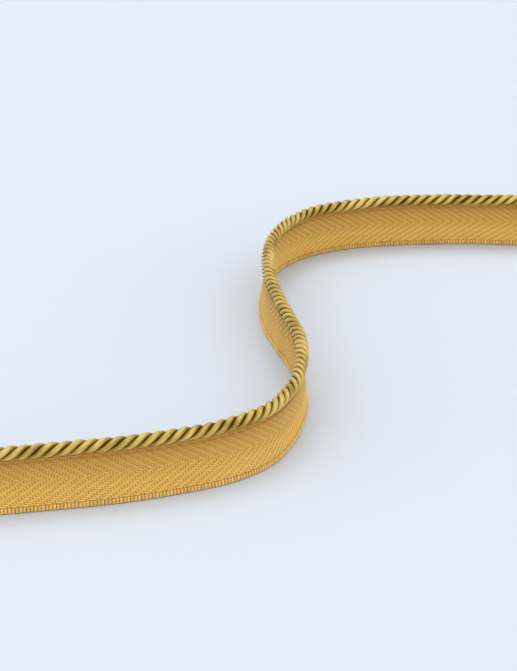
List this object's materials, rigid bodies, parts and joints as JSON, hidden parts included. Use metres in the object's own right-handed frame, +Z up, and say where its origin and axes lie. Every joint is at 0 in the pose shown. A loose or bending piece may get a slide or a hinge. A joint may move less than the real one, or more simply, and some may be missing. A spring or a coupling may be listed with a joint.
{
  "type": "flanged cord trim",
  "caption": "Twisted satin cord sewn along a herringbone flange tape, standing on its edge in a loose S, for piping the seams of cushions and upholstery.",
  "frame": {"origin": "on the floor that the tape's knitted edge stands on, at the middle of the outline's box", "axes": "+Z up from the knitted edge to the cord; +X from the left cut end towards the right cut end; +Y across the S, from the near run to the far run"},
  "size_m": [0.285, 0.2805, 0.0251],
  "materials": {
    "satin_yarn": "olive-gold satin filament yarn, glossy along its fibres, dark in the grooves between strands",
    "filler_yarn": "undyed spun filler yarn, seen only at the cut ends of the strands",
    "woven_cotton": "warm gold herringbone twill, soft and matt with a faint lustre",
    "sewing_thread": "matching gold spun sewing thread"
  },
  "bodies": {
    "root": {"strand_1_cover": "satin_yarn", "strand_1_filler": "filler_yarn", "strand_2_cover": "satin_yarn", "strand_2_filler": "filler_yarn", "strand_3_cover": "satin_yarn", "strand_3_filler": "filler_yarn", "woven_tape": "woven_cotton", "knitted_edge": "woven_cotton", "needle_thread": "sewing_thread", "looper_thread": "sewing_thread", "left_end_whipping": "sewing_thread", "right_end_whipping": "sewing_thread"}
  },
  "joints": []
}
